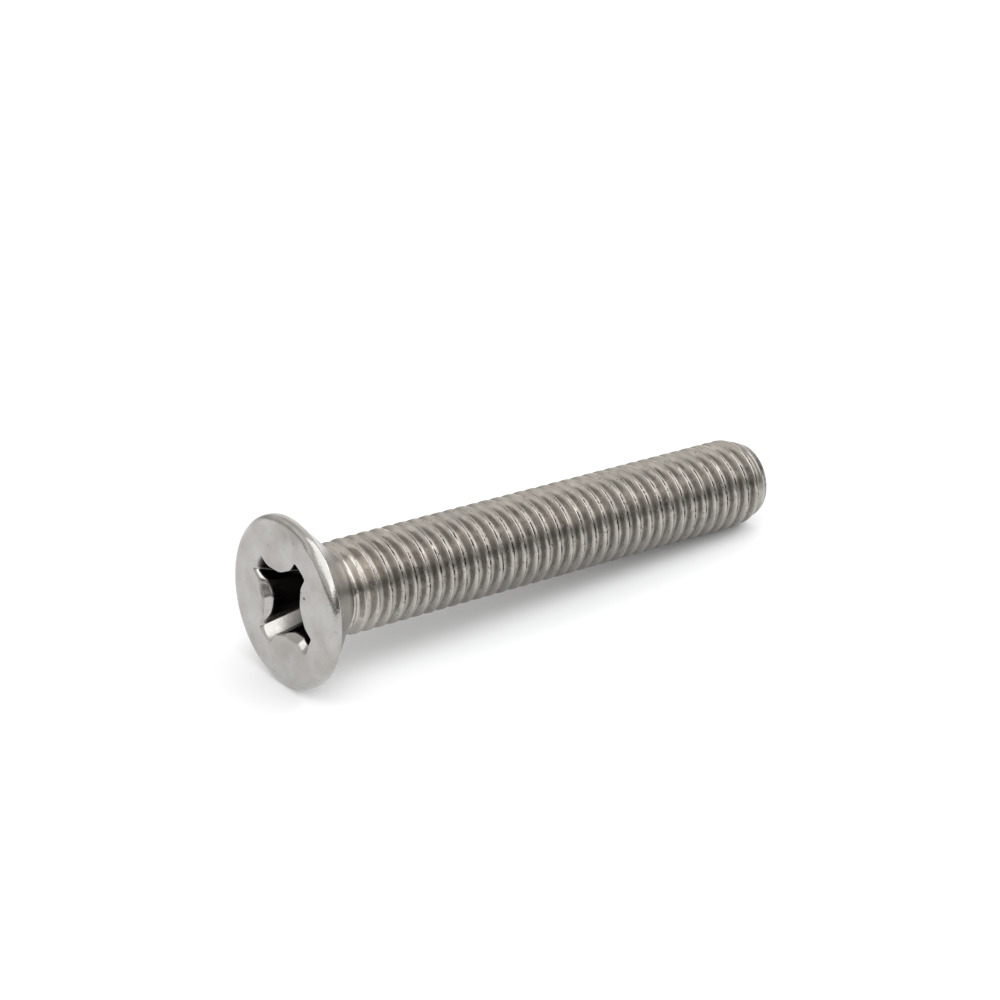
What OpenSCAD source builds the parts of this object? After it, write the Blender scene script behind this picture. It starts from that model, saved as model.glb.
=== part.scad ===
// Countersunk machine screw, nominal M8 x 50, with a cross recess of type H and a rolled metric
// thread along the whole shank. It is one solid piece of stainless steel.
// It lies as it rests on a table: the widest edge of the head and the last full thread crest touch
// z = 0. The head is toward -X and the point toward +X.
// Millimetres. The screw is drawn upright, its flat face at z = 0 and its point at z = screw_len,
// and is then laid down.

/* [Head] */
// Diameter over the widest part of the head
head_d = 14.4; // [13.8:0.1:15]
// Radius between the flat face and the rim
face_round = 0.5; // [0.3:0.05:0.6]
// Height of the straight rim between the rounding and the cone
rim_land = 0.3; // [0.2:0.05:0.5]
// Included angle of the cone under the head
seat_angle = 90; // [88:0.5:92]
// Diameter of the plain neck under the cone
neck_d = 7.1; // [6.9:0.05:7.2]
// Radius of the hollow fillet where the cone meets the neck
neck_fillet = 0.6; // [0.4:0.05:0.8]

/* [Cross recess] */
// Width over the four wings at the flat face
recess_d = 8.7; // [8.2:0.1:9]
// Width over the four wings at their foot
recess_foot_d = 5.08; // [4.8:0.02:5.2]
// Slope of the outer end of each wing against the screw's axis, in degrees
wing_slope = 26.5; // [25:0.5:28]
// Thickness of a wing at the flat face
wing_w = 1.7; // [1.5:0.05:1.9]
// Thickness of a wing at its foot
wing_foot_w = 1.19; // [1:0.01:1.3]
// Distance from the axis to the blunt ridge between two wings, at the flat face
ridge_r = 2.5; // [2.3:0.05:2.6]
// Distance from the axis to the blunt ridge between two wings, at the foot
ridge_foot_r = 1.74; // [1.65:0.01:1.8]
// Angle between the two bevels that meet at each ridge, in degrees
bevel_angle = 153; // [150:1:156]
// Slope of the conical floor, in degrees
floor_slope = 28; // [26:1:30]
// Turn of the recess about the axis, in degrees
recess_turn = 31.4; // [0:0.1:90]

/* [Thread] */
// Outside diameter over the crests (nominal 8)
thread_d = 7.88; // [7.8:0.02:8]
// Pitch of the right-hand thread
pitch = 1.25; // [1.2:0.01:1.25]
// Diameter at the root
root_d = 6.47; // [6.4:0.01:6.6]
// Width of the flat crest, along the axis
crest_w = 0.24; // [0.18:0.02:0.3]
// Width of the flat root, along the axis
root_w = 0.2; // [0.14:0.02:0.24]
// Diameter of the unfinished ridge half a turn below the neck
first_d = 7.5; // [7.3:0.05:7.6]

/* [Length and point] */
// Length of the whole screw with its head
screw_len = 49.7; // [40:0.1:50]
// Length of the tapered point
point_len = 2; // [1.8:0.1:2.4]
// Diameter of the flat end of the point
point_d = 6.5; // [6.2:0.1:6.7]

/* [Hidden] */
$fn = 96;
// Straight steps in each turn of the thread
turn_steps = 24;
// How far a cutting tool reaches past the steel, and the neck into the thread
over = 0.15;

head_r = head_d / 2;
neck_r = neck_d / 2;
first_r = first_d / 2;
crest_r = thread_d / 2;
root_r = root_d / 2;
point_r = point_d / 2;
foot_r = recess_foot_d / 2;
// The thread starts a little inside the neck, so that its first turn grows out of it
core_r = neck_r - over / 3;
// The first turn is a ring around a plug of the head, which holds the floor of the recess
plug_r = root_r - over / 2;

// Stations down the axis from the flat face: edge of the rim, corner of cone and neck, end of the
// fillet, start of the taper and the crest that touches the table
z_rim = face_round + rim_land;
z_corner = z_rim + (head_r - neck_r) / tan(seat_angle / 2);
z_neck = z_corner + neck_fillet * tan(seat_angle / 4);
z_stub = z_neck + over;
z_taper = screw_len - point_len;
z_touch = z_taper - 0.45 * pitch;

// Tilt that lets the head's edge and the last full crest touch the table together
rest_tilt = atan((head_r - crest_r) / (z_touch + crest_w / 2 - z_rim));

// Depth of the wings' foot and of the floor's deepest point
foot_depth = (recess_d / 2 - foot_r) / tan(wing_slope);
floor_depth = foot_depth + foot_r * tan(floor_slope);
z_plug = max(floor_depth, z_stub) + 2 * over;

// Point on the rounding between the flat face and the rim, a = 0 at the face and 90 at the rim
function edge_pt(a) = [head_r - face_round * (1 - sin(a)), face_round * (1 - cos(a))];

// Point on the hollow fillet, f = 0 at the cone and 1 at the neck
function fillet_pt(f) =
    let (a = seat_angle / 2 * (1 - f))
    [neck_r + neck_fillet * (1 - cos(a)), z_neck - neck_fillet * sin(a)];

module head_blank() {
    rotate_extrude()
        polygon(concat(
            [[0, 0]],
            [for (k = [0:6]) edge_pt(15 * k)],
            [[head_r, z_rim]],
            [for (k = [0:3]) fillet_pt(k / 3)],
            [[neck_r, z_stub], [plug_r, z_stub], [plug_r, z_plug], [0, z_plug]]));
}

// Thickness of a wing and distance of the ridges from the axis, at depth d under the flat face
function wing_at(d) = wing_w - (wing_w - wing_foot_w) * d / foot_depth;
function ridge_at(d) = ridge_r - (ridge_r - ridge_foot_r) * d / foot_depth;

// Block with flat tapered walls between two outlines, from above the face to the floor's depth
module tapered_block(top, low) {
    n = len(top);
    polyhedron(
        points = concat(
            [for (p = top) [p[0], p[1], -over]],
            [for (p = low) [p[0], p[1], floor_depth]]),
        faces = concat(
            [[for (k = [0:n - 1]) k]],
            [[for (k = [0:n - 1]) 2 * n - 1 - k]],
            [for (k = [0:n - 1]) [k, n + k, n + (k + 1) % n, (k + 1) % n]]));
}

// Two opposite wings: one straight slot with tapered walls
module wing_pair() {
    function slot(w) = [
        [head_r, w / 2],
        [-head_r, w / 2],
        [-head_r, -w / 2],
        [head_r, -w / 2]];
    tapered_block(slot(wing_at(-over)), slot(wing_at(floor_depth)));
}

// One tapered rhombus. Two of them, crossed, leave the blunt ridge between each two wings.
module bevel_pair() {
    slant = tan(45 - (180 - bevel_angle) / 2);
    function rhombus(r) =
        let (q = r / sqrt(2), long = q + q / slant, short = q + q * slant)
        [[long, 0], [0, short], [-long, 0], [0, -short]];
    tapered_block(rhombus(ridge_at(-over)), rhombus(ridge_at(floor_depth)));
}

// Turned limit of the recess: sloping wing ends above a conical floor
module recess_cone() {
    rotate_extrude()
        polygon([
            [0, -over],
            [recess_d / 2 + over * tan(wing_slope), -over],
            [foot_r, foot_depth],
            [0, floor_depth]]);
}

module recess() {
    intersection() {
        for (k = [0:1])
            rotate([0, 0, recess_turn + 90 * k]) {
                wing_pair();
                bevel_pair();
            }
        recess_cone();
    }
}

// Radius of the crest and of the root at height z. Both grow out of the neck in one turn, and the
// taper of the point cuts them off.
function grown(z) = max(0, min(1, (z - z_neck) / pitch));
function taper_r(z) = point_r + (crest_r - point_r) * (screw_len - z) / point_len;
function crest_at(z) =
    let (half = 2 * grown(z))
    min(core_r + (first_r - core_r) * min(1, half) + (crest_r - first_r) * max(0, half - 1), taper_r(z));
function root_at(z) = min(core_r - (core_r - root_r) * grown(z), taper_r(z) - over);

// Section of the thread at height z: two corners of the root, then two corners of the crest
flank_w = (pitch - crest_w - root_w) / 2;
function thread_section(z) = [
    [root_at(z), z - root_w / 2],
    [root_at(z), z + root_w / 2],
    [crest_at(z + pitch / 2), z + root_w / 2 + flank_w],
    [crest_at(z + pitch / 2), z + root_w / 2 + flank_w + crest_w]];

// Helical body of the shank, from inside the neck to past the point. Its turns are counted back
// from the crest that touches the table. Each section joins the next and the one a turn later.
module thread() {
    turns = ceil((z_touch - z_neck) / pitch) + 1;
    z_start = z_touch - (turns + 0.5) * pitch;
    steps = (turns + 3) * turn_steps;
    ring = len(thread_section(z_start));
    points = [for (k = [0:steps])
        let (a = 360 * k / turn_steps)
        for (p = thread_section(z_start + pitch * k / turn_steps))
            [p[0] * cos(a), p[0] * sin(a), p[1]]];
    function corner(k, j) = ring * k + j;
    strips = [for (k = [0:steps - 1]) for (j = [0:ring - 2])
        each [
            [corner(k, j), corner(k, j + 1), corner(k + 1, j + 1)],
            [corner(k, j), corner(k + 1, j + 1), corner(k + 1, j)]]];
    turn_joins = [for (k = [0:steps - turn_steps - 1])
        let (far = ring - 1, next = k + turn_steps)
        each [
            [corner(k, far), corner(next, 0), corner(next + 1, 0)],
            [corner(k, far), corner(next + 1, 0), corner(k + 1, far)]]];
    // Each end closes in a fan about a point on the axis, and in the step between first and last
    low = len(points);
    high = low + 1;
    last = steps - turn_steps;
    low_end = concat(
        [for (k = [0:turn_steps - 1]) [corner(k, 0), corner(k + 1, 0), low]],
        [for (j = [0:ring - 2]) [corner(0, j), low, corner(0, j + 1)]],
        [[corner(0, ring - 1), low, corner(turn_steps, 0)]]);
    high_end = concat(
        [for (k = [last:steps - 1]) [corner(k, ring - 1), high, corner(k + 1, ring - 1)]],
        [for (j = [0:ring - 2]) [corner(steps, j + 1), high, corner(steps, j)]],
        [[corner(steps, 0), high, corner(last, ring - 1)]]);
    polyhedron(
        points = concat(points, [[0, 0, z_start], [0, 0, z_start + pitch * (turns + 3)]]),
        faces = concat(strips, turn_joins, low_end, high_end));
}

module head() {
    difference() {
        head_blank();
        recess();
    }
}

module shank() {
    difference() {
        intersection() {
            thread();
            cylinder(h = screw_len, r = head_r);
        }
        cylinder(h = z_plug - over, r = plug_r - over);
    }
}

// Ends of the lying screw along X, and the height of the middle of its flat face
head_x = (head_r - face_round) * sin(rest_tilt) + face_round * (1 - cos(rest_tilt));
point_x = screw_len * cos(rest_tilt) + point_r * sin(rest_tilt);
face_z = head_r * cos(rest_tilt) + z_rim * sin(rest_tilt);

module machine_screw() {
    color([0.72, 0.71, 0.69])
        translate([(head_x - point_x) / 2, 0, face_z])
            rotate([0, 90 + rest_tilt, 0]) {
                head();
                shank();
            }
}

machine_screw();
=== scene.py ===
# Looks of the countersunk machine screw M8 x 50: one closed piece of stainless steel in place of
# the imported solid, with its rounded edges, punched recess and rolled thread, lying on a pale table.
# Lengths are metres. The screw is shaped upright, with its flat face at height 0 and its point
# above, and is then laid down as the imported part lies.

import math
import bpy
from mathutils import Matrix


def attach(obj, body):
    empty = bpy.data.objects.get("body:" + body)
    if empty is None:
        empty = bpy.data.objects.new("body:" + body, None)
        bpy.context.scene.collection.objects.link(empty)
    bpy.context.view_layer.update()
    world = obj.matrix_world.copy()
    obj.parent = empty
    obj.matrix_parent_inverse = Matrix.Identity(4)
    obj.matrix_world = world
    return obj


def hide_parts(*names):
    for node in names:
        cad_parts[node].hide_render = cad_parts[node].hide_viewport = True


bl_info = {
    "name": "Countersunk Machine Screw",
    "version": (1, 0, 0),
    "blender": (4, 5, 0),
    "location": "3D View > Sidebar > Screw",
    "description": "Shapes and finishes a countersunk machine screw with a cross recess and thread",
    "category": "Add Mesh",
}

import bpy
import numpy as np
from bpy.props import FloatProperty, FloatVectorProperty, PointerProperty
from mathutils import Matrix, Vector

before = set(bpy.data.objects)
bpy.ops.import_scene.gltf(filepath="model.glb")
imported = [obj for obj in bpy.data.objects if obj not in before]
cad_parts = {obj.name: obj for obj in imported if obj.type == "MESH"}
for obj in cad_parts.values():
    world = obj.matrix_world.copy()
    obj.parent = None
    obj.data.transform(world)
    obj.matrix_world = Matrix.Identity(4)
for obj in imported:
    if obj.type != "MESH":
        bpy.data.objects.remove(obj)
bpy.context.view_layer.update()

MM = 0.001
NODE = "machine_screw"


def linear(hex_colour):
    """An sRGB hex colour as linear red, green and blue."""
    parts = [int(hex_colour[k:k + 2], 16) / 255 for k in (1, 3, 5)]
    return tuple(p / 12.92 if p <= 0.04045 else ((p + 0.055) / 1.055) ** 2.4 for p in parts)


def length(name, description, millimetres):
    """A size that a user may change, in metres, with its default in millimetres."""
    return FloatProperty(
        name=name, description=description, default=millimetres * MM, min=0, unit="LENGTH",
        precision=5)


def angle(name, description, degrees):
    """An angle that a user may change, with its default in degrees."""
    return FloatProperty(
        name=name, description=description, default=math.radians(degrees), subtype="ANGLE",
        unit="ROTATION")


def colour(name, description, hex_colour):
    """A colour that a user may change."""
    return FloatVectorProperty(
        name=name, description=description, default=linear(hex_colour), min=0, max=1,
        subtype="COLOR")


class HeadSizes(bpy.types.PropertyGroup):
    """Sizes of the countersunk head and its neck."""
    head_d: length("Head diameter", "Diameter over the rim", 14.4)
    face_d: length("Face diameter", "Diameter of the flat part of the face", 13.1)
    edge_drop: length("Edge drop", "Depth of the rounding between face and rim", 0.5)
    land: length("Rim land", "Height of the straight rim", 0.3)
    neck_d: length("Neck diameter", "Diameter of the plain neck at its narrowest", 7.0)
    fillet: length("Neck fillet", "Radius of the hollow fillet under the cone", 0.2)
    seat_angle: angle("Seat angle", "Included angle of the cone", 90)


class RecessSizes(bpy.types.PropertyGroup):
    """Sizes of the cross recess, type H."""
    mouth_d: length("Width at the face", "Width over the wings at the face", 8.7)
    foot_d: length("Width at the foot", "Width over the wings at their foot", 5.08)
    wing: length("Wing thickness", "Thickness of a wing at the face", 1.7)
    wing_foot: length("Wing thickness at the foot", "Thickness of a wing at its foot", 1.19)
    ridge: length("Ridge distance", "Distance from the axis to a ridge at the face", 2.5)
    ridge_foot: length("Ridge distance at the foot", "The same distance at the foot", 1.74)
    lip: length("Mouth rounding", "Radius that the punch leaves at the recess's edge", 0.12)
    bevel_width: length("Ridge bevel width", "Width of the bevel on a pressed ridge", 0.45)
    bevel_depth: length("Ridge bevel depth", "Depth of the bevel on a pressed ridge", 0.66)
    wing_slope: angle("Wing slope", "Slope of a wing's end against the axis", 26.5)
    floor_slope: angle("Floor slope", "Slope of the conical floor", 28)
    bevel: angle("Bevel angle", "Angle between the two bevels at a ridge", 153)
    turn: angle("Turn", "Turn of the recess about the axis", 31.4)


class ThreadSizes(bpy.types.PropertyGroup):
    """Sizes of the rolled thread and the point."""
    thread_d: length("Thread diameter", "Diameter over the crests", 7.88)
    first_d: length("First ridge", "Diameter of the unfinished ridge under the neck", 7.5)
    root_d: length("Root diameter", "Diameter at the root", 6.47)
    pitch: length("Pitch", "Distance from crest to crest", 1.25)
    crest: length("Crest width", "Width of the packed part's crest, on which it rests", 0.24)
    seam: length("Crest seam", "Depth of the seam that rolling leaves along the crest", 0.09)
    screw_len: length("Length", "Length of the whole screw", 49.7)
    point_len: length("Point length", "Length of the tapered point", 2.0)
    point_d: length("Point diameter", "Diameter of the end of the point", 6.5)
    end_round: length("End rounding", "Radius at the edge of the flat end", 0.3)


class SteelColours(bpy.types.PropertyGroup):
    """Colours of the bare steel, of what clings to it and of its painted shade, and of the table."""
    bare: colour("Bare steel", "Passivated stainless steel", "#B7B5B2")
    dull: colour("Dull steel", "The same steel where the die has pressed it", "#A8A4A0")
    rolled: colour("Rolled steel", "The same steel where the thread was rolled", "#BEB9B2")
    # Painted shade: this dark colour darkens the hollows, the seam, the roots and one side of the
    # thread and neck, partly as oil residue
    oil_and_shade: colour("Residue", "Thin dark film of drawing oil left in hollows", "#2A2624")
    table: colour("Table", "Pale floor", "#F2F4F6")


def mix(a, b, share):
    """Value between a and b, a at share 0 and b at share 1."""
    return a + (b - a) * share


def ease(x):
    """Smooth step from 0 to 1."""
    x = np.clip(x, 0, 1)
    return x * x * (3 - 2 * x)


def soft_max(a, b, width):
    """The larger of two lengths, rounded where they cross."""
    h = np.clip(0.5 + 0.5 * (a - b) / width, 0, 1)
    return mix(b, a, h) + width * h * (1 - h)


def soft_min(a, b, width):
    """The smaller of two lengths, rounded where they cross."""
    return -soft_max(-a, -b, width)


def waves(u, v, size, seed, count=9):
    """Slow unevenness between about -1 and 1, from crossed waves about one size long."""
    dice = np.random.default_rng(seed)
    total = np.zeros(np.broadcast(u, v).shape)
    for _ in range(count):
        heading, phase = dice.uniform(0, 2 * math.pi, 2)
        step = 2 * math.pi / (size * dice.uniform(0.6, 1.7))
        total += np.sin(step * (u * math.cos(heading) + v * math.sin(heading)) + phase)
    return total / math.sqrt(count)


class Stations:
    """Radii and heights that follow from the sizes. Height 0 is the flat face."""

    def __init__(self, head, recess, thread):
        self.head_r, self.neck_r, self.face_r = head.head_d / 2, head.neck_d / 2, head.face_d / 2
        self.crest_r, self.root_r = thread.thread_d / 2, thread.root_d / 2
        self.first_r, self.point_r = thread.first_d / 2, thread.point_d / 2
        self.edge_round = head.edge_drop
        self.z_rim = head.edge_drop + head.land
        z_corner = self.z_rim + (self.head_r - self.neck_r) / math.tan(head.seat_angle / 2)
        self.z_neck = z_corner + head.fillet * math.tan(head.seat_angle / 4)
        # The screw rests on its rim and on the last full crest, just before the tapered point
        self.z_touch = thread.screw_len - thread.point_len - 0.45 * thread.pitch
        drop = self.head_r - self.crest_r
        self.tilt = math.atan(drop / (self.z_touch + thread.crest / 2 - self.z_rim))
        foot_r = recess.foot_d / 2
        self.foot_depth = (recess.mouth_d / 2 - foot_r) / math.tan(recess.wing_slope)
        self.floor_depth = self.foot_depth + foot_r * math.tan(recess.floor_slope)

    def lay_down(self, thread):
        """Matrix from the upright screw to the screw at rest on the table."""
        c, s = math.cos(self.tilt), math.sin(self.tilt)
        head_x = (self.head_r - self.edge_round) * s + self.edge_round * (1 - c)
        point_x = thread.screw_len * c + self.point_r * s
        place = Vector(((head_x - point_x) / 2, 0, self.head_r * c + self.z_rim * s))
        turn = Matrix(((-s, 0, c), (0, 1, 0), (-c, 0, -s)))
        return Matrix.Translation(place) @ turn.to_4x4()


# Directions about the axis in degrees, where the photograph shows something on the screw:
# 0 is down toward the table, 90 toward +Y and 180 up
LOWER_LEFT_WING, LEFT_RIDGE, UPPER_RIGHT_WING, LOWER_RIDGE = 31.4, 76.4, 211, 322
RIM_TOP, RIM_UPPER_RIGHT, RIM_RIGHT = 188, 223, 250
OILY_SHADED_THREAD, OILY_SHADED_NECK, FAINT_SEAM = 240, 250, 305

# Marks on the face, as the photograph shows them: place on the upright screw and radius in
# millimetres, and depth of tone. The small ones are specks, the three broad ones near the top edge
# painted darker reflection.
FACE_MARKS = (
    ((-1.64, -3.05, 0), 0.18, 1.0), ((-2.0, -2.6, 0), 0.12, 0.8),
    ((-5.7, -0.1, 0), 0.8, 0.14), ((-6.0, -1.5, 0), 0.9, 0.16), ((-6.4, -0.7, 0.1), 0.9, 0.12),
    ((4.5, -1.1, 0), 0.55, 0.06),
)
# A faint disc on the face below the recess: its middle and radius in millimetres
FACE_DISC, FACE_DISC_R = (3.55, -0.35, 0), 1.35

# Columns of points round the head and round the shank, and rows of points at the head's neck
COLUMNS = 192
SHANK_COLUMNS = COLUMNS // 2
NECK_ROWS = 8
# Where the columns at the recess lie closer, within an eighth of a turn: degrees from the middle
# of a wing, half the width of that stretch, and how much closer
CLOSER_COLUMNS = ((12.5, 3.2, 3.4), (24, 3, 1.4), (45, 5, 1.2))
# Places of the three finishes on the mesh
FORMED, ROLLED, PUNCHED = range(3)


def toward(theta, degrees, spread):
    """1 in one direction about the axis and 0 away from it, spread in radians."""
    away = np.mod(theta - math.radians(degrees) + math.pi, 2 * math.pi) - math.pi
    return np.exp(-(away / spread) ** 4)


def even_directions(turn, count):
    """Directions of evenly spaced columns."""
    return turn + np.arange(count) * 2 * math.pi / count


def mouth_directions(turn):
    """Directions of the columns at the recess, closest at the corners of its wings and ridges."""
    sector = np.linspace(0, 45, 901)
    density = np.ones(sector.shape)
    for place, width, extra in CLOSER_COLUMNS:
        density += extra * np.exp(-((sector - place) / width) ** 2)
    share = np.concatenate([[0], np.cumsum((density[1:] + density[:-1]) / 2)])
    steps = np.interp(np.linspace(0, share[-1], COLUMNS // 8 + 1), share, sector)
    quarter = np.concatenate([steps[:-1], 90 - steps[:0:-1]])
    return np.radians(np.concatenate([quarter + 90 * k for k in range(4)])) + turn


def recess_reach(theta, depth, recess, at):
    """Distance from the axis to the wall of the recess in each direction, at one depth."""
    ridge_round, end_round, floor_round = 0.2 * MM, 0.3 * MM, 0.12 * MM
    open_corner, crease = 0.55 * MM, 0.07 * MM
    sink = depth / at.foot_depth
    half = mix(recess.wing, recess.wing_foot, sink) / 2
    ridge = mix(recess.ridge, recess.ridge_foot, sink) / math.sqrt(2)
    slant = math.tan(recess.bevel / 2 - math.radians(45))
    far, near = ridge * (1 + 1 / slant), ridge * (1 + slant)
    c, s = np.abs(np.cos(theta - recess.turn)), np.abs(np.sin(theta - recess.turn))
    # Along a wing's own middle its sides are never met, so the divisor is kept above 0
    slots = half / np.maximum(np.minimum(c, s), 0.01)
    bevels = soft_max(1 / (c / far + s / near), 1 / (s / far + c / near), ridge_round)
    ends = recess.mouth_d / 2 - depth * math.tan(recess.wing_slope)
    floor = (at.floor_depth - depth) / math.tan(recess.floor_slope)
    # The wings meet the pressed ridges in a crease and the other ridges in a rounding
    pressed = toward(theta, LEFT_RIDGE, 0.6) + toward(theta, LOWER_RIDGE - 4, 0.32)
    meet = mix(open_corner, crease, np.clip(pressed, 0, 1))
    walls = soft_min(soft_max(slots, bevels, meet), ends, end_round)
    return soft_min(walls, floor, floor_round)


def ring(x, y, z):
    """One closed row of points."""
    return np.stack(np.broadcast_arrays(x, y, z), axis=1).astype(float)


def recess_rings(recess, at):
    """Rows of points from the floor of the recess over its wall to the edge of its mouth.
    Returns them, their painted shade from 0 to 1, and the directions out of the mouth's edge."""
    theta = mouth_directions(recess.turn)
    c, s = np.cos(theta), np.sin(theta)

    def outline(depth):
        reach = recess_reach(theta, depth, recess, at)
        return np.stack([reach * c, reach * s], axis=1)

    # The punch leaves a small rounding all round, and steep bevels on two of the four ridges
    bevel = toward(theta, LEFT_RIDGE, 0.58) + toward(theta, LOWER_RIDGE, 0.3)
    bevel = np.clip(bevel + 0.4 * toward(theta, LOWER_RIDGE + 28, 0.3), 0, 1)
    bevel_width = recess.bevel_width * (1 - 0.35 * toward(theta, LOWER_RIDGE + 3, 0.4))
    lip = recess.lip * (1 + 0.25 * waves(c, s, 1.6, 5))
    out_by = mix(lip, bevel_width, bevel)
    down_by = mix(lip, recess.bevel_depth, bevel)

    # The conical floor, and the wall up to the rounding and the bevels
    rings = []
    for share in (0.985, 0.93, 0.84, 0.72, 0.58, 0.44, 0.3, 0.16, 0.05):
        depth = mix(at.foot_depth, at.floor_depth, share)
        rings.append(ring(*outline(depth).T, depth))
    for share in np.linspace(0.97, 0.06, 14):
        depth = mix(down_by, at.foot_depth, share)
        rings.append(ring(*outline(depth).T, depth))

    edge = outline(0)
    along = np.roll(edge, -1, axis=0) - np.roll(edge, 1, axis=0)
    outward = np.stack([along[:, 1], -along[:, 0]], axis=1)
    outward /= np.linalg.norm(outward, axis=1)[:, None]
    for part in (1, 0.84, 0.66, 0.5, 0.34, 0.16, 0):
        bend = part * math.pi / 2
        down = down_by * mix(1 - math.cos(bend), float(ease(part * 0.9 + 0.05)), bevel)
        out = out_by * mix(1 - math.sin(bend), 1 - part, bevel)
        if part in (0, 1):
            down = down_by * part
        rings.append(ring(*(outline(down) + outward * out[:, None]).T, down))

    # Painted shade darkens the walls below the rounding and the bevels, but hardly the wings' ends,
    # and not the end of the lower left wing
    oil_and_shade_amount = []
    for row in rings:
        end_r = recess.mouth_d / 2 - row[:, 2] * math.tan(recess.wing_slope)
        on_end = ease((np.hypot(row[:, 0], row[:, 1]) - end_r) / (0.1 * MM) + 1.6)
        less_oil_and_shade = (on_end * toward(theta, LOWER_LEFT_WING, 0.5) + 0.25 * on_end
                 + 0.2 * toward(theta, LOWER_LEFT_WING + 16.6, 0.2)
                 + 0.45 * toward(theta, UPPER_RIGHT_WING, 1.2))
        below = ease((row[:, 2] - down_by * 0.96) / (0.3 * MM))
        oil_and_shade_amount.append(below * (1 - np.clip(less_oil_and_shade, 0, 1)))
    return rings, oil_and_shade_amount, outward


def outer_rings(head, recess, at, mouth, outward):
    """Rows of points from the mouth of the recess over face, rim and cone to the neck."""
    theta = even_directions(recess.turn, COLUMNS)
    c, s = np.cos(theta), np.sin(theta)
    rings = []

    def turned(r, z):
        rings.append(ring(r * c, r * s, z))

    # The flat part of the face ends earlier at the right and the top, and later and with a
    # steeper edge at the upper right
    steep = toward(theta, RIM_UPPER_RIGHT, 0.3)
    face_r = (at.face_r - 0.1 * MM * toward(theta, RIM_RIGHT, 0.9)
              - 0.15 * MM * toward(theta, RIM_TOP, 0.4) + 0.24 * MM * steep
              + 0.03 * MM * waves(c, s, 2, 3))
    edge_drop = head.edge_drop + 0.2 * MM * steep

    # The face is slightly uneven from the forming die. It only dips below the flat.
    start = mouth[:, :2] + outward * (0.03 * MM)
    stop = np.stack([face_r * c, face_r * s], axis=1)
    for share in (0, 0.06, 0.15, 0.26, 0.38, 0.5, 0.62, 0.74, 0.85, 0.94, 1):
        flat = mix(start, stop, share)
        dip = 0.012 * MM * (1 + waves(flat[:, 0], flat[:, 1], 4 * MM, 11) / 2)
        dip = dip * ease(share * 8) * ease((1 - share) * 6)
        rings.append(ring(*flat.T, np.maximum(dip, 0)))

    # The edge is round all the way, but nearly a straight steep bevel at the upper right
    straight = 0.8 * steep
    for bend in np.radians((10, 22, 34, 46, 58, 70, 81, 90)):
        part = bend / math.radians(90)
        turned(mix(face_r, at.head_r, mix(math.sin(bend), part, straight)),
               edge_drop * mix(1 - math.cos(bend), part, straight))

    # The rounded corner between rim and cone, the cone, and the hollow fillet at the neck
    lean, corner = head.seat_angle / 2, 0.16 * MM
    drop = corner * math.tan(lean / 2)
    for bend in lean * np.array((0, 11, 22.5, 34, 45)) / 45:
        cone_r = at.head_r - corner * (1 - math.cos(bend))
        cone_z = at.z_rim - drop + corner * math.sin(bend)
        turned(cone_r, cone_z)
    end_r = at.neck_r + head.fillet * (1 - math.cos(lean))
    end_z = at.z_neck - head.fillet * math.sin(lean)
    for share in (0.02, 0.1, 0.22, 0.36, 0.5, 0.64, 0.78, 0.9, 0.98):
        turned(mix(cone_r, end_r, share), mix(cone_z, end_z, share))
    for bend in lean * np.linspace(1, 0, 6):
        turned(at.neck_r + head.fillet * (1 - math.cos(bend)),
               at.z_neck - head.fillet * math.sin(bend))
    return rings


# Rows of points across one pitch: distance from the middle of a crest in millimetres, height between
# root and crest, share of the seam's depth, and oil residue with painted shade. The seam lies between
# two narrow lips, and the crest is rounded on the side of the head. The painted shade and residue lie
# in the seam, on the flank that faces the point and in the root, and thin out up the flank that faces
# the head.
THREAD_ROWS = (
    (0, 1, 1, 1), (0.05, 1, 0.7, 1), (0.085, 1, 0.15, 0.5), (0.125, 1, 0, 0),
    (0.16, 0.955, 0, 0.25), (0.195, 0.87, 0, 0.8), (0.35, 0.46, 0, 0.55), (0.525, 0.01, 0, 0.46),
    (0.625, 0, 0, 0.42), (0.725, 0.01, 0, 0.38), (0.84, 0.3, 0, 0.26), (0.925, 0.52, 0, 0.2),
    (0.985, 0.67, 0, 0.17), (1.035, 0.785, 0, 0.14), (1.08, 0.87, 0, 0.11), (1.12, 0.935, 0, 0.06),
    (1.155, 0.975, 0, 0), (1.185, 0.99, 0.15, 0.5), (1.21, 1, 0.7, 1))
# Pitch in millimetres for which the rows are given
ROWS_PITCH = 1.25


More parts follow.
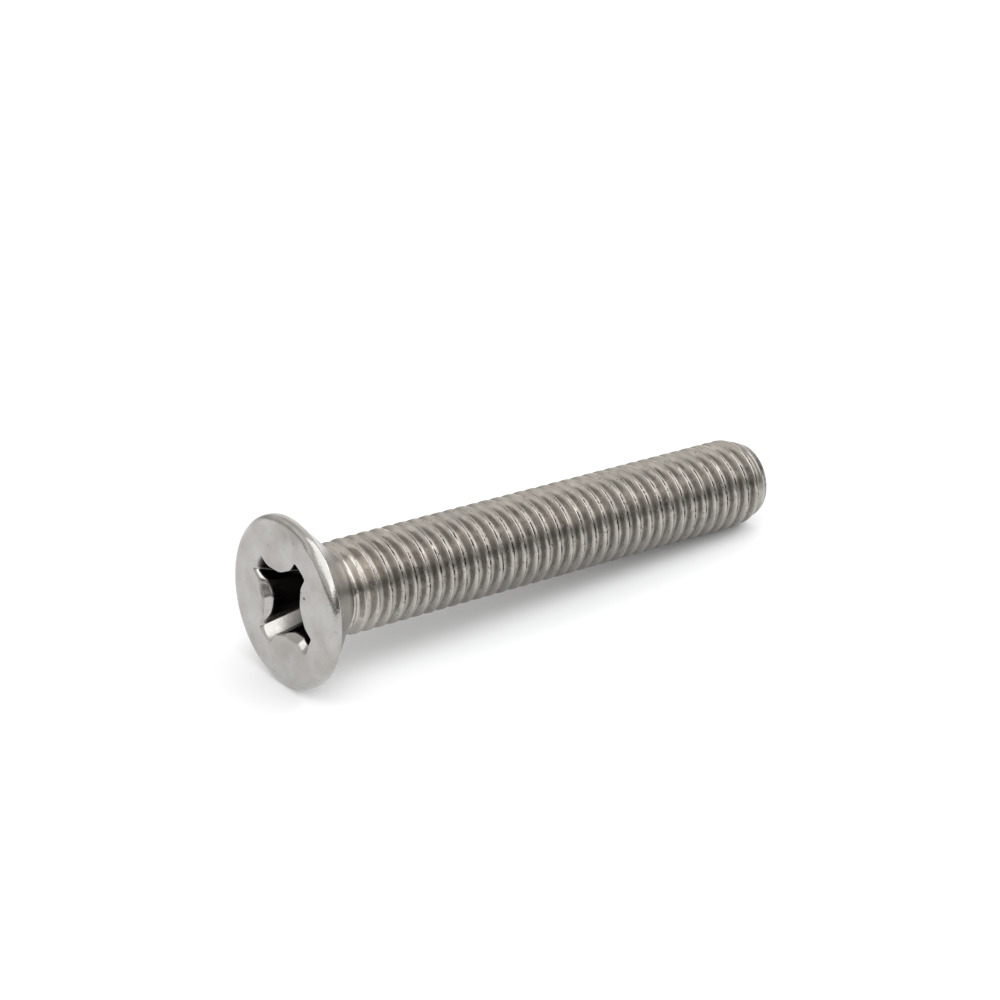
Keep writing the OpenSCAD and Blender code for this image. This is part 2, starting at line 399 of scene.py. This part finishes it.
def shank_grid(thread, at, turn, z_low, z_high):
    """The rolled thread as rows that climb the screw like the thread does.
    Returns the points, their oil residue and painted shade from 0 to 1 and the faces.
    The first points are the bottom ring and the next ones the top ring."""
    per_pitch = len(THREAD_ROWS)
    first = math.floor((z_low - at.z_touch) / thread.pitch) - 3
    last = math.ceil((z_high - at.z_touch) / thread.pitch) + 2
    turns = last - first
    rows = turns * per_pitch
    across, shape, seam, oil_and_shade_amount = np.tile(np.array(THREAD_ROWS, float).T, turns)[:, :, None]
    across = across * MM * thread.pitch / (ROWS_PITCH * MM)
    up = np.repeat(np.arange(first, last) * thread.pitch, per_pitch)[:, None] + across
    theta = even_directions(turn, SHANK_COLUMNS)[None, :]
    c, s = np.cos(theta), np.sin(theta)
    z = at.z_touch + thread.pitch * theta / (2 * math.pi) + up
    z_on = np.clip(z, z_low, z_high)

    # Crests and roots grow out of the neck in one turn
    grown = np.clip((z_on - at.z_neck + 0.3 * MM) / thread.pitch, 0, 1)
    crest = (at.neck_r + (at.first_r - at.neck_r) * np.minimum(1, 3 * grown)
             + (at.crest_r - at.first_r) * np.maximum(0, 1.5 * grown - 0.5))
    root = at.neck_r - (at.neck_r - at.root_r) * grown
    r = root + (crest - root) * shape

    # The seam's depth wanders along the thread and fades toward the table
    path = theta * at.crest_r
    wander = 0.75 + 0.4 * waves(path, up, 3.1 * MM, 21)
    wander = np.clip(wander, 0.15, 1.3) * mix(1, 0.25, toward(theta, FAINT_SEAM, 0.85))
    r -= thread.seam * seam * wander * ease(grown * 2)
    # Painted shade: the residue is fullest on one side of the thread. Elsewhere half of it is left,
    # and a quarter on the crests. It begins over the first three turns.
    left = mix(0.5, 0.25, ease(shape * 20 - 19))
    oil_and_shade_amount = oil_and_shade_amount * mix(left, 1, toward(theta, OILY_SHADED_THREAD, 0.78))
    oil_and_shade_amount = oil_and_shade_amount * np.clip(0.95 + 0.4 * waves(path, up, 1.3 * MM, 23), 0.3, 1.15)
    oil_and_shade_amount = oil_and_shade_amount * ease((z_on - at.z_neck) / thread.pitch / 3)
    # The crests are a little uneven
    uneven = (1 + waves(path, z_on, 2.3 * MM, 22) / 2).clip(0)
    r -= 0.012 * MM * ease(shape * 2) * uneven
    tapered = (thread.screw_len - z_on) / thread.point_len
    taper = at.point_r + (at.crest_r - at.point_r) * tapered
    r = soft_min(r, taper, 0.1 * MM)

    # Points past either end are drawn into the ring that closes it
    free = (z > z_low) & (z < z_high)
    points_low = ring(at.neck_r * c[0], at.neck_r * s[0], z_low)
    end_r = taper[z_on >= z_high].min() - 0.03 * MM
    points_high = ring(end_r * c[0], end_r * s[0], z_high)
    body = np.stack([r * c, r * s, z_on], axis=2)
    index = np.full((rows, SHANK_COLUMNS), -1)
    column = np.broadcast_to(np.arange(SHANK_COLUMNS), index.shape)
    index = np.where(z <= z_low, column, index)
    index = np.where(z >= z_high, SHANK_COLUMNS + column, index)
    index[free] = 2 * SHANK_COLUMNS + np.arange(free.sum())
    points = np.concatenate([points_low, points_high, body[free]])
    oil_and_shade_amount = np.concatenate([np.zeros(2 * SHANK_COLUMNS), oil_and_shade_amount[free]])
    # Past the last column, each row goes on one pitch higher in the first column
    wrapped = np.concatenate([index[per_pitch:, 0], np.full(per_pitch, SHANK_COLUMNS)])
    beside = np.concatenate([index[:, 1:], wrapped[:, None]], axis=1)
    quads = zip(index[:-1].ravel(), beside[:-1].ravel(), beside[1:].ravel(), index[1:].ravel())
    faces = []
    for quad in quads:
        # At an end ring, two or more corners may be one point
        corners = tuple(int(p) for k, p in enumerate(quad) if p != quad[k - 1])
        if len(corners) > 2:
            faces.append(corners)
    return points, oil_and_shade_amount, faces


def screw_mesh(head, recess, thread, at):
    """Builds the whole closed surface. Returns the mesh in its place on the table."""
    rings, recess_oil_and_shade, outward = recess_rings(recess, at)
    recess_rows = len(rings)
    rings += outer_rings(head, recess, at, rings[-1], outward)
    count = len(rings)
    z_low = at.z_neck + 0.03 * MM
    z_high = thread.screw_len - thread.end_round
    shank, shank_oil_and_shade, shank_faces = shank_grid(thread, at, recess.turn, z_low, z_high)

    points = [np.array([[0, 0, at.floor_depth - 0.02 * MM]])] + rings
    # A little painted shade in the neck, on the same side as in the thread
    neck_oil_and_shade = 0.45 * toward(even_directions(recess.turn, COLUMNS), OILY_SHADED_NECK, 0.6)
    clean_rows = count - recess_rows - NECK_ROWS
    oil_and_shade_amount = [np.ones(1)] + recess_oil_and_shade + [np.zeros(COLUMNS)] * clean_rows + [neck_oil_and_shade] * NECK_ROWS
    near = [(k, (k + 1) % COLUMNS) for k in range(COLUMNS)]
    faces = [(0, 1 + b, 1 + a) for a, b in near]
    skins = [PUNCHED] * COLUMNS
    # The last rows at the mouth have the face's finish
    mouth_rows = 3
    for row in range(count - 1):
        base, above = 1 + row * COLUMNS, 1 + (row + 1) * COLUMNS
        faces += [(base + a, base + b, above + b, above + a) for a, b in near]
        skins += [PUNCHED if row < recess_rows - mouth_rows else FORMED] * COLUMNS

    # The neck's ring has two columns to each one of the shank
    neck, low = 1 + (count - 1) * COLUMNS, 1 + count * COLUMNS
    for k in range(SHANK_COLUMNS):
        a, b, c = (neck + (2 * k + step) % COLUMNS for step in range(3))
        d, e = low + k, low + (k + 1) % SHANK_COLUMNS
        faces += [(a, b, d), (b, e, d), (b, c, e)]
    skins += [FORMED] * 3 * SHANK_COLUMNS
    points.append(shank)
    oil_and_shade_amount.append(shank_oil_and_shade)
    faces += [tuple(low + p for p in f) for f in shank_faces]
    skins += [ROLLED] * len(shank_faces)

    # Rounded edge and slightly hollow end of the point, as the blank was sheared and rolled
    hollow, roughness, end_soil = 0.22 * MM, 0.02 * MM, 0.1
    theta = even_directions(recess.turn, SHANK_COLUMNS)
    near = [(k, (k + 1) % SHANK_COLUMNS) for k in range(SHANK_COLUMNS)]
    below, top = low + SHANK_COLUMNS, low + len(shank)
    flat_r = math.hypot(*shank[SHANK_COLUMNS, :2]) - thread.end_round
    end_rows = [(flat_r + thread.end_round * math.cos(b), z_high + thread.end_round * math.sin(b))
                for b in np.radians((18, 36, 54, 72, 90))]
    end_rows += [(flat_r * share, thread.screw_len - hollow * float(ease((1 - share) * 1.4)))
                 for share in (0.96, 0.86, 0.7, 0.5, 0.3, 0.12)]
    for r, z in end_rows:
        x, y = r * np.cos(theta), r * np.sin(theta)
        bumpy = roughness * waves(x, y, 2 * MM, 31).clip(-1, 0) if r < flat_r else 0
        points.append(ring(x, y, z + bumpy))
        oil_and_shade_amount.append(np.full(SHANK_COLUMNS, end_soil))
        faces += [(below + a, below + b, top + b, top + a) for a, b in near]
        below, top = top, top + SHANK_COLUMNS
    points.append(np.array([[0, 0, thread.screw_len - hollow]]))
    oil_and_shade_amount.append(np.full(1, end_soil))
    faces += [(below + a, below + b, top) for a, b in near]
    skins += [FORMED] * (len(faces) - len(skins))

    points = np.concatenate(points)
    mesh = bpy.data.meshes.new("countersunk_machine_screw")
    mesh.from_pydata([tuple(p) for p in points], [], faces)
    mesh.polygons.foreach_set("material_index", skins)
    mesh.polygons.foreach_set("use_smooth", [True] * len(faces))
    upright = mesh.attributes.new("upright_mm", "FLOAT_VECTOR", "POINT")
    upright.data.foreach_set("vector", (points / MM).astype(np.float32).ravel())
    oil_and_shade = mesh.attributes.new("oil_and_painted_shade", "FLOAT", "POINT")
    oil_and_shade.data.foreach_set("value", np.concatenate(oil_and_shade_amount).astype(np.float32))
    mesh.transform(at.lay_down(thread))
    mesh.update()
    if mesh.validate():
        raise RuntimeError("the screw's surface has faulty faces")
    return mesh


def node(tree, kind, inputs=None, **settings):
    """Adds one shader node with its settings. Each input is a value, another node's output,
    or a node whose first output is meant."""
    made = tree.nodes.new(kind)
    for name, value in settings.items():
        setattr(made, name, value)
    for name, value in (inputs or {}).items():
        if isinstance(value, bpy.types.Node):
            value = value.outputs[0]
        if isinstance(value, bpy.types.NodeSocket):
            tree.links.new(value, made.inputs[name])
        else:
            made.inputs[name].default_value = value
    return made


def bare_material(name):
    """An empty material with its output node."""
    material = bpy.data.materials.new(name)
    material.use_nodes = True
    material.node_tree.nodes.clear()
    return material, material.node_tree, node(material.node_tree, "ShaderNodeOutputMaterial")


def bare_steel(name):
    """An empty material, with the place on the upright screw in millimetres and the share of oil
    residue and painted shade.
    """
    material, tree, out = bare_material(name)
    where = node(tree, "ShaderNodeAttribute", attribute_name="upright_mm").outputs["Vector"]
    oil_and_shade = node(tree, "ShaderNodeAttribute", attribute_name="oil_and_painted_shade").outputs["Fac"]
    return material, tree, out, where, oil_and_shade


def opaque(colour_values):
    """A colour with full cover."""
    return tuple(colour_values) + (1,)


def spots(tree, where, size_mm, low, high, stretch=(1, 1, 1), detail=2.0):
    """Cloudy spots of a size in millimetres, 0 below one level of the cloud and 1 above another."""
    scaled = node(
        tree, "ShaderNodeVectorMath", {0: where, 1: tuple(k / size_mm for k in stretch)},
        operation="MULTIPLY")
    cloud = node(
        tree, "ShaderNodeTexNoise",
        {"Vector": scaled, "Scale": 1.0, "Detail": detail, "Roughness": 0.5})
    return node(tree, "ShaderNodeMapRange", {"Value": cloud, "From Min": low, "From Max": high})


def round_mark(tree, where, middle, radius, soft=0.5):
    """1 inside a round mark and 0 away from it. It fades from the soft share of its radius on."""
    away = node(tree, "ShaderNodeVectorMath", {0: where, 1: middle}, operation="DISTANCE")
    return node(
        tree, "ShaderNodeMapRange",
        {"Value": away.outputs["Value"], "From Min": radius * soft, "From Max": radius,
         "To Min": 1.0, "To Max": 0.0},
        interpolation_type="SMOOTHSTEP")


def steel_surface(tree, out, paint, roughness, relief, bump_mm):
    """Joins colour, roughness and relief in the metal's own shader, at the default IOR."""
    bump = node(
        tree, "ShaderNodeBump", {"Strength": 1.0, "Distance": bump_mm * MM, "Height": relief})
    metal = node(
        tree, "ShaderNodeBsdfPrincipled",
        {"Metallic": 1.0, "Base Color": paint, "Roughness": roughness, "Normal": bump})
    tree.links.new(metal.outputs[0], out.inputs["Surface"])


def cold_formed_stainless(colours):
    """A2 stainless steel, cold headed in a die, tumbled and passivated: a satin skin, faintly
    mottled where the die pressed it, with small dings and hairlines from the tumbling drum."""
    material, tree, out, where, oil_and_shade = bare_steel("cold_formed_stainless")
    # Patches a few millimetres wide, from uneven pressure of the die
    patches = spots(tree, where, size_mm=2.6, low=0.36, high=0.68, detail=3.0)
    # Real satin grain is about 0.02 mm. It is drawn at 0.16 mm, the finest that shows at this
    # distance.
    grain = spots(tree, where, size_mm=0.16, low=0.3, high=0.7, detail=1.0)
    # Dings from tumbling, about 0.3 mm wide
    dings = spots(tree, where, size_mm=0.5, low=0.7, high=0.78, detail=1.0)
    # Hairline scratches, long in one direction
    lines = spots(
        tree, where, size_mm=0.14, low=0.64, high=0.75, stretch=(1, 0.06, 0.5), detail=1.0)
    # Specks on the face, and painted darker reflection in three broad marks near its top edge, where
    # the photograph shows them
    marks = 0.0
    for place, radius, tone in FACE_MARKS:
        mark = round_mark(tree, where, place, radius, soft=0.2)
        marks = node(
            tree, "ShaderNodeMath", {0: mark, 1: tone, 2: marks}, operation="MULTIPLY_ADD")
    # The disc stands a little proud of the face below the recess
    disc = round_mark(tree, where, FACE_DISC, FACE_DISC_R, soft=0.86)
    paint = node(
        tree, "ShaderNodeMix", {0: patches, 6: opaque(colours.bare), 7: opaque(colours.dull)},
        data_type="RGBA").outputs[2]
    # Painted shade from the residue share in the neck and at the mouth, the face marks (specks, and
    # painted darker reflection in the broad ones) and dings darken the paint
    stain_and_shade = node(tree, "ShaderNodeMath", {0: oil_and_shade, 1: marks}, operation="ADD")
    stain_and_shade = node(
        tree, "ShaderNodeMath", {0: dings, 1: 0.25, 2: stain_and_shade}, operation="MULTIPLY_ADD",
        use_clamp=True)
    paint = node(
        tree, "ShaderNodeMix", {0: stain_and_shade, 6: paint, 7: opaque(colours.oil_and_shade)},
        data_type="RGBA").outputs[2]
    # The rim, 6.4 to 6.8 mm from the axis and beyond, is burnished by the die's wall
    flat = node(tree, "ShaderNodeVectorMath", {0: where, 1: (1, 1, 0)}, operation="MULTIPLY")
    from_axis = node(tree, "ShaderNodeVectorMath", {0: flat}, operation="LENGTH").outputs["Value"]
    roughness = node(
        tree, "ShaderNodeMapRange",
        {"Value": from_axis, "From Min": 6.4, "From Max": 6.8, "To Min": 0.27, "To Max": 0.16})
    for pattern, share in ((patches, 0.08), (grain, 0.06)):
        roughness = node(
            tree, "ShaderNodeMath", {0: pattern, 1: share, 2: roughness}, operation="MULTIPLY_ADD")
    relief = 0.0
    for pattern, share in ((grain, 0.35), (patches, 0.6), (dings, -1.0), (lines, -0.4),
                           (marks, -1.0), (disc, 1.2)):
        relief = node(
            tree, "ShaderNodeMath", {0: pattern, 1: share, 2: relief}, operation="MULTIPLY_ADD")
    steel_surface(tree, out, paint, roughness, relief, bump_mm=0.01)
    return material


def rolled_thread_stainless(colours):
    """The same steel after flat dies rolled the thread: bright burnished lips along a seam darkened
    with painted shade, lines along the thread, and a thin dark film toward the roots that is oil
    residue and painted shade."""
    material, tree, out, where, oil_and_shade = bare_steel("rolled_thread_stainless")
    # Lines along the thread, 0.05 mm apart in the real one and drawn at 0.12 mm
    lines = spots(
        tree, where, size_mm=0.12, low=0.3, high=0.7, stretch=(0.08, 0.08, 1), detail=1.0)
    patches = spots(tree, where, size_mm=1.1, low=0.35, high=0.7)
    # Nicks and specks of dirt, about 0.2 mm
    nicks = spots(tree, where, size_mm=0.24, low=0.66, high=0.74, detail=1.0)
    # The film of oil residue and painted shade is broken up in flecks about 0.3 mm long, most of all
    # in the seam
    flecks = spots(tree, where, size_mm=0.3, low=0.36, high=0.5, detail=1.0)
    thick = node(
        tree, "ShaderNodeMapRange",
        {"Value": oil_and_shade, "From Min": 0.5, "From Max": 0.8, "To Min": 0.9, "To Max": 0.35})
    film_and_shade = node(tree, "ShaderNodeMapRange", {"Value": flecks, "To Min": thick, "To Max": 0.95})
    film_and_shade = node(tree, "ShaderNodeMath", {0: film_and_shade, 1: oil_and_shade}, operation="MULTIPLY")
    film_and_shade = node(
        tree, "ShaderNodeMath", {0: nicks, 1: 0.35, 2: film_and_shade}, operation="MULTIPLY_ADD",
        use_clamp=True)
    cloudy = node(tree, "ShaderNodeMath", {0: patches, 1: 0.5}, operation="MULTIPLY")
    paint = node(
        tree, "ShaderNodeMix", {0: cloudy, 6: opaque(colours.rolled), 7: opaque(colours.dull)},
        data_type="RGBA").outputs[2]
    paint = node(
        tree, "ShaderNodeMix", {0: film_and_shade, 6: paint, 7: opaque(colours.oil_and_shade)},
        data_type="RGBA").outputs[2]
    # Clean lips are burnished by the rolling dies, oily flanks less
    polish = node(
        tree, "ShaderNodeMapRange",
        {"Value": oil_and_shade, "From Max": 0.14, "To Min": 0.12, "To Max": 0.26})
    roughness = node(
        tree, "ShaderNodeMath", {0: patches, 1: 0.08, 2: polish}, operation="MULTIPLY_ADD")
    relief = 0.0
    for pattern, share in ((lines, 0.4), (patches, 0.3), (nicks, -1.2)):
        relief = node(
            tree, "ShaderNodeMath", {0: pattern, 1: share, 2: relief}, operation="MULTIPLY_ADD")
    steel_surface(tree, out, paint, roughness, relief, bump_mm=0.012)
    return material


def punched_recess_stainless(colours):
    """The same steel where the punch drew it down: bright smeared bevels and wing ends with faint
    drag lines toward the floor, and walls below them black with painted shade."""
    material, tree, out, where, oil_and_shade = bare_steel("punched_recess_stainless")
    # Drag lines 0.15 mm apart, long down the wall
    drag = spots(
        tree, where, size_mm=0.15, low=0.35, high=0.68, stretch=(1, 1, 0.08), detail=1.0)
    patches = spots(tree, where, size_mm=0.9, low=0.35, high=0.7)
    worn = node(tree, "ShaderNodeMath", {0: drag, 1: 0.4}, operation="MULTIPLY")
    # Painted shade on the walls below the mouth, from the residue share
    film_and_shade = node(
        tree, "ShaderNodeMapRange", {"Value": oil_and_shade, "From Max": 0.9, "To Max": 0.985})
    paint = node(
        tree, "ShaderNodeMix", {0: worn, 6: opaque(colours.bare), 7: opaque(colours.dull)},
        data_type="RGBA").outputs[2]
    paint = node(
        tree, "ShaderNodeMix", {0: film_and_shade, 6: paint, 7: opaque(colours.oil_and_shade)},
        data_type="RGBA").outputs[2]
    # Walls are smeared smooth at the mouth and torn rougher toward the floor
    deep = node(tree, "ShaderNodeSeparateXYZ", {0: where}).outputs["Z"]
    roughness = node(
        tree, "ShaderNodeMapRange",
        {"Value": deep, "From Min": 1.0, "From Max": 2.4, "To Min": 0.12, "To Max": 0.42})
    for pattern, share in ((drag, 0.05), (patches, 0.05)):
        roughness = node(
            tree, "ShaderNodeMath", {0: pattern, 1: share, 2: roughness}, operation="MULTIPLY_ADD")
    relief = 0.0
    for pattern, share in ((drag, 0.12), (patches, 0.5)):
        relief = node(
            tree, "ShaderNodeMath", {0: pattern, 1: share, 2: relief}, operation="MULTIPLY_ADD")
    steel_surface(tree, out, paint, roughness, relief, bump_mm=0.008)
    return material


def table_paint(colours):
    """Matt white table. The camera sees the open table white with the screw's shadow on it.
    Mirrored in the steel the shadow is thinner, as the photograph's table is overexposed."""
    material, tree, out = bare_material("matt_white_table")
    path = node(tree, "ShaderNodeLightPath")
    mirrored = node(
        tree, "ShaderNodeMath",
        {0: path.outputs["Is Glossy Ray"], 1: path.outputs["Is Transmission Ray"]},
        operation="MAXIMUM")
    mirrored_share = 0.55
    thin = tuple(mirrored_share * c for c in colours.table)
    shade = node(
        tree, "ShaderNodeMix", {0: mirrored, 6: opaque(colours.table), 7: opaque(thin)},
        data_type="RGBA").outputs[2]
    matt = node(tree, "ShaderNodeBsdfDiffuse", {"Color": shade})
    # Painted shadow: in an oval under the shank, given by two lengths in millimetres, the glow is
    # lower, so the table there is darker to the camera and in the steel
    oval_long, oval_wide = 22, 6.5
    where = node(tree, "ShaderNodeTexCoord").outputs["Object"]
    scaled = node(
        tree, "ShaderNodeVectorMath", {0: where, 1: (1 / oval_long / MM, 1 / oval_wide / MM, 1)},
        operation="MULTIPLY")
    painted_shadow_oval = round_mark(tree, scaled, (0.2, 0.15, 0), 1.5)
    seen_glow = node(tree, "ShaderNodeMapRange", {"Value": painted_shadow_oval, "To Min": 0.12, "To Max": 0.03})
    mirrored_glow = node(
        tree, "ShaderNodeMapRange", {"Value": painted_shadow_oval, "To Min": 0.54, "To Max": 0.1})
    glow = node(
        tree, "ShaderNodeMath", {0: path.outputs["Is Camera Ray"], 1: seen_glow},
        operation="MULTIPLY")
    glow = node(
        tree, "ShaderNodeMath", {0: mirrored, 1: mirrored_glow, 2: glow}, operation="MULTIPLY_ADD")
    light = node(tree, "ShaderNodeEmission", {"Strength": glow})
    both = node(tree, "ShaderNodeAddShader", {0: matt, 1: light})
    tree.links.new(both.outputs[0], out.inputs["Surface"])
    return material


def tent_paint():
    """Grey tent that glows, lighting the screw and showing in the steel: dark near the table, paler
    above and behind the screw.
    """
    material, tree, out = bare_material("glowing_grey_tent")
    where = node(tree, "ShaderNodeTexCoord").outputs["Object"]
    height = node(tree, "ShaderNodeSeparateXYZ", {0: where}).outputs["Z"]
    level = node(
        tree, "ShaderNodeMapRange",
        {"Value": height, "From Min": TENT_R * 0.12, "From Max": TENT_R * 0.42, "To Min": 0.22,
         "To Max": 0.72},
        interpolation_type="SMOOTHSTEP")
    for azimuth, elevation, reach, change in TENT_SHADES:
        middle = tuple(direction(azimuth, elevation) * TENT_R)
        radius = TENT_R * 2 * math.sin(math.radians(reach / 2))
        near = round_mark(tree, where, middle, radius, soft=0.25)
        level = node(
            tree, "ShaderNodeMath", {0: near, 1: change, 2: level}, operation="MULTIPLY_ADD")
    glow = node(tree, "ShaderNodeEmission", {"Color": (1, 0.98, 0.95, 1), "Strength": level})
    tree.links.new(glow.outputs[0], out.inputs["Surface"])
    material.cycles.emission_sampling = "NONE"
    return material


def direction(azimuth, elevation):
    """Unit vector toward a direction, azimuth from +Y toward +X, in degrees."""
    a, e = math.radians(azimuth), math.radians(elevation)
    return Vector((math.sin(a) * math.cos(e), math.cos(a) * math.cos(e), math.sin(e)))


def put_down(name, mesh, material):
    """An object of one mesh and one material, linked to the scene."""
    mesh.materials.append(material)
    thing = bpy.data.objects.new(name, mesh)
    bpy.context.scene.collection.objects.link(thing)
    return thing


def square_sheet(name, side, material):
    """A flat square about its own middle."""
    mesh = bpy.data.meshes.new(name)
    x = side / 2
    mesh.from_pydata([(-x, -x, 0), (x, -x, 0), (x, x, 0), (-x, x, 0)], [], [(0, 1, 2, 3)])
    return put_down(name, mesh, material)


def half_ball(name, radius, material):
    """An open half ball over the table, seen from inside."""
    columns, rows = 48, 12
    points = [(0, 0, radius)]
    for row in range(1, rows + 1):
        for column in range(columns):
            away = direction(360 * column / columns, 90 - 90 * row / rows)
            points.append(tuple(away * radius))
    faces = []
    for column in range(columns):
        a, b = 1 + column, 1 + (column + 1) % columns
        faces.append((0, a, b))
        for _ in range(rows - 1):
            faces.append((a, a + columns, b + columns, b))
            a, b = a + columns, b + columns
    mesh = bpy.data.meshes.new(name)
    mesh.from_pydata(points, [], faces)
    return put_down(name, mesh, material)


def softbox(name, azimuth, elevation, distance, width, height, brightness):
    """A soft lamp in one direction, facing the screw."""
    lamp = bpy.data.lights.new(name, "AREA")
    lamp.shape, lamp.size, lamp.size_y = "RECTANGLE", width, height
    lamp.energy = brightness * math.pi * width * height
    box = bpy.data.objects.new(name, lamp)
    bpy.context.scene.collection.objects.link(box)
    away = direction(azimuth, elevation)
    box.location = away * distance
    box.rotation_euler = away.to_track_quat("Z", "Y").to_euler()


def white_room(scene):
    """A room that is white to the camera and in the steel, and lights the screw half as much."""
    world = bpy.data.worlds.new("white_room")
    scene.world = world
    world.use_nodes = True
    tree = world.node_tree
    tree.nodes.clear()
    path = node(tree, "ShaderNodeLightPath")
    seen = node(
        tree, "ShaderNodeMath",
        {0: path.outputs["Is Camera Ray"], 1: path.outputs["Is Glossy Ray"]}, operation="MAXIMUM")
    seen = node(
        tree, "ShaderNodeMath", {0: seen, 1: path.outputs["Is Transmission Ray"]},
        operation="MAXIMUM")
    level = node(tree, "ShaderNodeMapRange", {"Value": seen, "To Min": 0.5, "To Max": 1.0})
    room = node(tree, "ShaderNodeBackground", {"Color": (1, 1, 1, 1), "Strength": level})
    node(tree, "ShaderNodeOutputWorld", {"Surface": room})


def photo_camera(scene):
    """The photograph's camera."""
    camera = bpy.data.cameras.new("camera")
    camera.sensor_width, camera.lens = CAMERA_SENSOR, CAMERA_LENS
    camera.clip_start, camera.clip_end = 0.01, 20
    viewer = bpy.data.objects.new("camera", camera)
    scene.collection.objects.link(viewer)
    viewer.location = CAMERA_PLACE
    viewer.rotation_euler = Vector(CAMERA_LOOK).to_track_quat("-Z", "Y").to_euler()
    scene.camera = viewer


# Softboxes: name, azimuth and elevation in degrees, distance, width and height in metres, and
# brightness
LAMPS = (
    ("key_softbox", 117, 44, 0.7, 0.27, 0.15, 4.2),
    ("top_softbox", 184, 62, 0.8, 1.15, 0.95, 1.33),
)
# The tent's radius in metres, and its shades: azimuth, elevation and reach in degrees, and change
# of brightness
TENT_R = 1.5
TENT_SHADES = (
    (37, 4, 50, 0.65),
    (142, 8, 36, -0.16),
    (52, 36, 40, 0.32),
    (-62, 26, 34, 0.28),
    (-28, 8, 36, 0.27),
)
# The table's side in metres. It ends inside the tent, so a low view sees the white room past it.
TABLE_SIDE = 1.65
# The camera stands far off with a long lens, and looks down on the head from the front left:
# place in metres, direction of its look, and lens and sensor width in millimetres
CAMERA_PLACE = (-0.133144, -0.167618, 0.112709)
CAMERA_LOOK = (0.55280591, 0.71020927, -0.43590038)
CAMERA_LENS, CAMERA_SENSOR = 101.866, 36


class SCREW_OT_make_screw(bpy.types.Operator):
    """Shape the screw as one closed piece and give it its three steel finishes"""
    bl_idname = "screw.make_screw"
    bl_label = "Countersunk Machine Screw"

    def execute(self, context):
        scene = context.scene
        head, recess, thread = scene.head_sizes, scene.recess_sizes, scene.thread_sizes
        at = Stations(head, recess, thread)
        mesh = screw_mesh(head, recess, thread, at)
        # In the order of FORMED, ROLLED and PUNCHED
        for finish in (cold_formed_stainless, rolled_thread_stainless, punched_recess_stainless):
            mesh.materials.append(finish(scene.steel_colours))
        screw = bpy.data.objects.new("countersunk_machine_screw", mesh)
        scene.collection.objects.link(screw)
        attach(screw, "root")
        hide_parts(NODE)
        return {"FINISHED"}


class SCREW_OT_make_stage(bpy.types.Operator):
    """Set up the pale table, the soft lamps, the tent, the white room and the camera"""
    bl_idname = "screw.make_stage"
    bl_label = "Table, Lamps and Camera"

    def execute(self, context):
        scene = context.scene
        scene.view_settings.view_transform = "Standard"
        square_sheet("table", TABLE_SIDE, table_paint(scene.steel_colours))
        for lamp in LAMPS:
            softbox(*lamp)
        tent = half_ball("tent", TENT_R, tent_paint())
        tent.visible_camera = False
        white_room(scene)
        photo_camera(scene)
        return {"FINISHED"}


class SCREW_PT_maker(bpy.types.Panel):
    """Lists the pieces of the screw scene and their sizes"""
    bl_idname = "SCREW_PT_maker"
    bl_label = "Machine Screw"
    bl_space_type = "VIEW_3D"
    bl_region_type = "UI"
    bl_category = "Screw"

    def draw(self, context):
        layout, scene = self.layout, context.scene
        for tool in (SCREW_OT_make_screw, SCREW_OT_make_stage):
            layout.operator(tool.bl_idname)
        for group_name, _ in GROUPS:
            group, box = getattr(scene, group_name), layout.box()
            for name in group.bl_rna.properties.keys():
                if name not in ("rna_type", "name"):
                    box.prop(group, name)


GROUPS = (("head_sizes", HeadSizes), ("recess_sizes", RecessSizes), ("thread_sizes", ThreadSizes),
          ("steel_colours", SteelColours))
TOOLS = (SCREW_OT_make_screw, SCREW_OT_make_stage, SCREW_PT_maker)


def register():
    """Adds the sizes and colours, the two operators and the panel."""
    for name, group in GROUPS:
        bpy.utils.register_class(group)
        setattr(bpy.types.Scene, name, PointerProperty(type=group))
    for tool in TOOLS:
        bpy.utils.register_class(tool)


def unregister():
    """Takes them away again, the last first."""
    for tool in reversed(TOOLS):
        bpy.utils.unregister_class(tool)
    for name, group in reversed(GROUPS):
        delattr(bpy.types.Scene, name)
        bpy.utils.unregister_class(group)


def main():
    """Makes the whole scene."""
    register()
    bpy.ops.screw.make_screw()
    bpy.ops.screw.make_stage()


if __name__ == "__main__":
    main()
